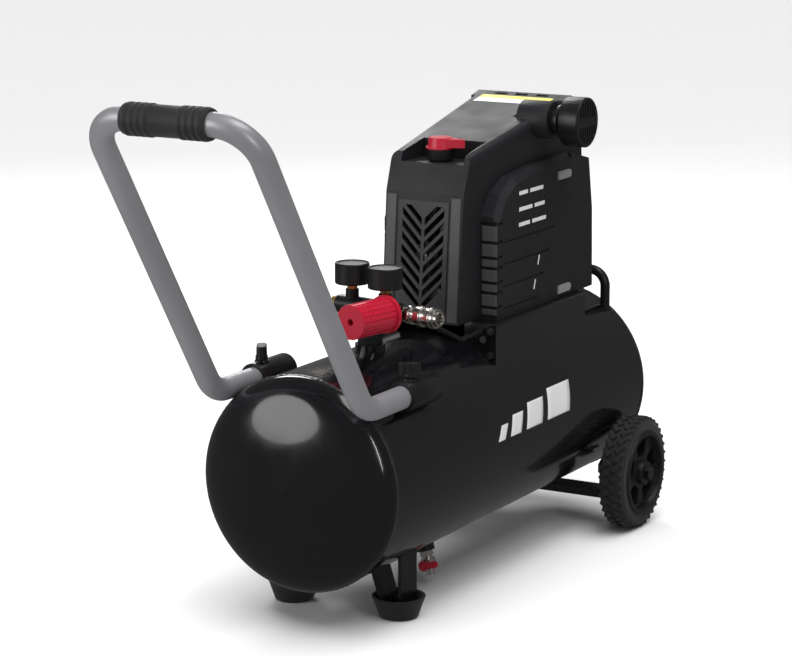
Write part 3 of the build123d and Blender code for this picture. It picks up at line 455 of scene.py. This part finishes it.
def barrel_mark(name, corners, radius, axis_z):
    """Thin closed film on the barrel's right side; corners are (x, angle above level)."""
    a, b, c, d = corners
    grid = []
    for i in range(FILM_ROWS + 1):
        for j in range(FILM_COLUMNS + 1):
            along = j / FILM_COLUMNS
            bottom = Vector(a).lerp(Vector(b), along)
            top = Vector(d).lerp(Vector(c), along)
            grid.append(bottom.lerp(top, i / FILM_ROWS))
    verts = []
    for lift in (FILM_UNDER, FILM_OVER):
        for x, turn in grid:
            r = radius + lift
            verts.append((x, -r * math.cos(turn), axis_z + r * math.sin(turn)))
    size, wide = len(grid), FILM_COLUMNS + 1
    faces = []
    for i in range(FILM_ROWS):
        for j in range(FILM_COLUMNS):
            k = i * wide + j
            faces.append((size + k, size + k + 1, size + k + wide + 1, size + k + wide))
            faces.append((k, k + wide, k + wide + 1, k + 1))
    rim = [
        *range(wide),
        *[i * wide + FILM_COLUMNS for i in range(1, FILM_ROWS + 1)],
        *[FILM_ROWS * wide + j for j in range(FILM_COLUMNS - 1, -1, -1)],
        *[i * wide for i in range(FILM_ROWS - 1, 0, -1)],
    ]
    for k, v in enumerate(rim):
        n = rim[(k + 1) % len(rim)]
        faces.append((v, n, size + n, size + v))
    done(mesh_piece(name, verts, faces, smooth=True), "machine", PRINT)


def tank_details():
    low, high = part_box("tank_barrel")
    radius = (high.y - low.y) / 2
    axis_z = (low.z + high.z) / 2
    weld_bead("front_weld", low.x, radius, axis_z)
    weld_bead("rear_weld", high.x, radius, axis_z)
    start = low.x + MARKS_START
    foot = math.radians(MARK_FOOT_ANGLE)
    for step, (offset, wide, top_angle) in enumerate(MARKS):
        x, top = start + offset, math.radians(top_angle)
        corners = [(x, foot), (x + wide, foot), (x + wide + MARK_LEAN, top), (x + MARK_LEAN, top)]
        barrel_mark(f"side_mark_{step + 1}", corners, radius, axis_z)


# ---------------------------------------------------------------- shroud details

FILM_THICK = 0.0003
SINK = 0.0002

# Places on the right side panel are (x, z) from its lower front corner
BAR_HIGH, BAR_GAP = 0.0045, 0.006
BAR_ROWS = ((0.053, 0.139, (0.022, 0.034)), (0.053, 0.120, (0.034, 0.026)), (0.053, 0.102, (0.028, 0.036)))
SLASHES = ((0.102, 0.050), (0.092, 0.022))
SLASH_WIDE, SLASH_HIGH, SLASH_TURN = 0.0022, 0.012, -0.35
CLIPS = ((0.154, 0.149), (0.156, 0.010))
CLIP_LONG, CLIP_R, CLIP_THICK, CLIP_EDGE = 0.028, 0.005, 0.0028, 0.0009
CLIP_STEPS = 10

BLOCK_LEVELS = (0.0035, 0.0140, 0.0310, 0.0430, 0.0600, 0.0720, 0.0900, 0.1110)
BLOCK_GAP = 0.0018
BLOCK_Y, BLOCK_HALF_WIDE = 0.0645, 0.0098
BLOCK_THICK, BLOCK_EDGE = 0.0012, 0.0008

ROOF_RISE, ROOF_RUN = 46, 235
CREST_X = 0.022
LABEL_HALF_WIDE = 0.048
# Name, distance back from the crest, length along the slope, colour
LABELS = (
    ("roof_label_yellow", 0.030, 0.012, (0.78, 0.66, 0.03)),
    ("roof_label_white", 0.044, 0.014, (0.8, 0.8, 0.8)),
)

FACE_HIGH, FACE_LEAN = 0.1485, 0.012
RAIL_Y, RAIL_HALF_WIDE = 0.0420, 0.0065
RAIL_FOOT, RAIL_SHORT = 0.002, 0.003
RAIL_THICK, RAIL_EDGE = 0.0017, 0.0009

SIDES = ((-1, "right"), (1, "left"))


def on_panel(corner, name, x, z, outline, thick, material, turn=0.0, edge=0.0):
    place = frame_at((corner.x + x, corner.y, corner.z + z), (1, 0, 0), (0, -1, 0))
    place = place @ Matrix.Rotation(turn, 4, "Z")
    done(solid(name, outline, place, thick, edge), "machine", material)


def panel_marks(corner):
    """Blank bars in place of print, and two slanted strokes below them."""
    for r, (x, z, lengths) in enumerate(BAR_ROWS):
        for k, length in enumerate(lengths):
            bar = oblong(0, length, 0, BAR_HIGH)
            on_panel(corner, f"print_bar_{r + 1}_{k + 1}", x, z, bar, FILM_THICK, PRINT)
            x += length + BAR_GAP
    slash = oblong(0, SLASH_WIDE, 0, SLASH_HIGH)
    for k, (x, z) in enumerate(SLASHES):
        on_panel(corner, f"print_slash_{k + 1}", x, z, slash, FILM_THICK, PRINT, turn=SLASH_TURN)


def panel_clips(corner):
    """Round-ended tabs that hold the panel's rear edge."""
    turns = [math.pi * i / CLIP_STEPS for i in range(CLIP_STEPS + 1)]
    arc = [(CLIP_LONG + CLIP_R * math.sin(a), -CLIP_R * math.cos(a)) for a in turns]
    tab = [(0, -CLIP_R), *arc, (0, CLIP_R)]
    clip = finish("clip_plastic", (0.2, 0.2, 0.21), 0.42, grain=(1100, 0.2))
    for k, (x, z) in enumerate(CLIPS):
        on_panel(corner, f"panel_clip_{k + 1}", x, z, tab, CLIP_THICK, clip,
                 edge=CLIP_EDGE)


def panel_highlight_blocks(corner):
    """Paler blocks down the front face of both side panels, between the moulded grooves; their paler
    colour is painted highlight, standing in for the light that falls on the front faces.
    """
    # Painted highlight: the blocks are coloured lighter than the shroud so that the front faces read as
    # lit
    plastic = finish("painted_highlight_plastic", (0.06, 0.06, 0.063), 0.4, grain=(1500, 0.3))
    for side, name in SIDES:
        for k, (bottom, top) in enumerate(zip(BLOCK_LEVELS, BLOCK_LEVELS[1:])):
            foot = Vector((corner.x + SINK, side * BLOCK_Y, corner.z + bottom + BLOCK_GAP))
            outline = oblong(0, top - bottom - 2 * BLOCK_GAP, -BLOCK_HALF_WIDE, BLOCK_HALF_WIDE)
            piece = solid(f"panel_block_{name}_{k + 1}", outline, frame_at(foot, (0, 0, 1), (-1, 0, 0)),
                          BLOCK_THICK, BLOCK_EDGE)
            done(piece, "machine", plastic)


def roof_labels(roof_low, roof_high):
    """Blank label across the roof, just ahead of the crest."""
    slope = math.atan2(ROOF_RISE, ROOF_RUN)
    x_axis = Vector((math.cos(slope), 0, math.sin(slope)))
    up = Vector((-math.sin(slope), 0, math.cos(slope)))
    crest = Vector((roof_low.x + CREST_X, 0, roof_high.z))
    for name, back, long, color in LABELS:
        place = frame_at(crest - x_axis * back + up * SINK, x_axis, up)
        strip = solid(name, oblong(0, long, -LABEL_HALF_WIDE, LABEL_HALF_WIDE), place, FILM_THICK)
        film = finish(name + "_film", color, 0.4, grain=(700, 0.04), vary=0.03)
        done(strip, "machine", film)


def front_rails(hood_low):
    """Paler moulded rails up both front corners, from the base to the brow."""
    lean = math.atan2(FACE_LEAN, FACE_HIGH)
    along = Vector((math.sin(lean), 0, math.cos(lean)))
    outward = Vector((-math.cos(lean), 0, math.sin(lean)))
    plastic = finish("rail_plastic", (0.05, 0.05, 0.053), 0.42, grain=(1500, 0.35))
    outline = oblong(RAIL_FOOT, FACE_HIGH - RAIL_SHORT, -RAIL_HALF_WIDE, RAIL_HALF_WIDE)
    for side, name in SIDES:
        foot = Vector((hood_low.x, side * RAIL_Y, hood_low.z))
        place = frame_at(foot - outward * SINK, along, outward)
        rail = solid(f"front_rail_{name}", outline, place, RAIL_THICK, RAIL_EDGE)
        done(rail, "machine", plastic)


def shroud_details():
    corner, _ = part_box("side_panel_right")
    panel_marks(corner)
    panel_clips(corner)
    panel_highlight_blocks(corner)
    roof_labels(*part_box("shroud_rear"))
    hood_low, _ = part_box("shroud_hood")
    front_rails(hood_low)


# ---------------------------------------------------------------- gauges

DIAL_R = 0.0178
TICKS, LONG_EVERY = 31, 5
FIRST_TICK, TICK_STEP = 240, 9
TICK_OUTER, TICK_LIFT = 0.0158, 0.00015
# Inner end and half width of a long tick and of a short one
LONG_TICK, SHORT_TICK = (0.0118, 0.00045), (0.0138, 0.00022)


def gauge_marks():
    """Scale ticks printed on both dials, a long one at every fifth."""
    low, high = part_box("gauge_dials")
    ends = (Vector((high.x - DIAL_R, high.y - DIAL_R, high.z)),
            Vector((low.x + DIAL_R, low.y + DIAL_R, high.z)))
    ink = finish("dial_ink", (0.012, 0.012, 0.014), 0.5, grain=(900, 0.05))
    for side, centre in zip(("left", "right"), ends):
        build = bmesh.new()
        for step in range(TICKS):
            turn = math.radians(FIRST_TICK - TICK_STEP * step)
            inner, half_wide = SHORT_TICK if step % LONG_EVERY else LONG_TICK
            tick = bmesh.ops.create_grid(build, x_segments=1, y_segments=1, size=0.5)["verts"]
            bmesh.ops.scale(build, verts=tick, vec=(TICK_OUTER - inner, half_wide * 2, 1))
            bmesh.ops.translate(build, verts=tick, vec=((TICK_OUTER + inner) / 2, 0, TICK_LIFT))
            bmesh.ops.rotate(build, verts=tick, matrix=Matrix.Rotation(turn, 3, "Z"))
        build.transform(Matrix.Translation(centre))
        done(piece_from(f"{side}_dial_scale", build), "machine", ink)


# ---------------------------------------------------------------- edges of the CAD nodes

# Width of the broken edge, and the nodes that have it
SOFT_EDGES = {
    0.0009: ("shroud_hood", "shroud_rear"),
    0.0007: ("side_panel_right", "side_panel_left", "handle_sockets", "pressure_switch_knob",
             "wheel_right_hub", "wheel_left_hub"),
    0.0006: ("saddle_plate", "clamp_knob_right", "clamp_knob_left", "front_foot_bracket",
             "wheel_bracket", "push_handle_grip", "foot_cups"),
    0.0005: ("filter_cap", "intake_neck", "drain_valve_lever", "coupler_sleeve"),
    0.0004: ("vent_grille", "coupler_body", "axle_bolts"),
    0.0003: ("frame_bolts", "gauge_stems"),
}


def soften_edges():
    """Breaks the sharp edges of the CAD nodes that show, so that they catch light."""
    for width, names in SOFT_EDGES.items():
        for name in names:
            piece = frame["nodes"][name]
            weld = piece.modifiers.new("weld", "WELD")
            weld.merge_threshold = 1e-6
            bevel = piece.modifiers.new("edge", "BEVEL")
            bevel.width = width
            bevel.segments = 2
            bevel.limit_method = "ANGLE"
            bevel.angle_limit = math.radians(38)
            bevel.use_clamp_overlap = True
            bevel.harden_normals = True


bpy.context.scene.view_settings.view_transform = "Standard"
make_camera()
make_studio()
paint_nodes()
for wheel in ("right", "left"):
    tread_tyre(wheel)
tank_details()
shroud_details()
gauge_marks()
soften_edges()
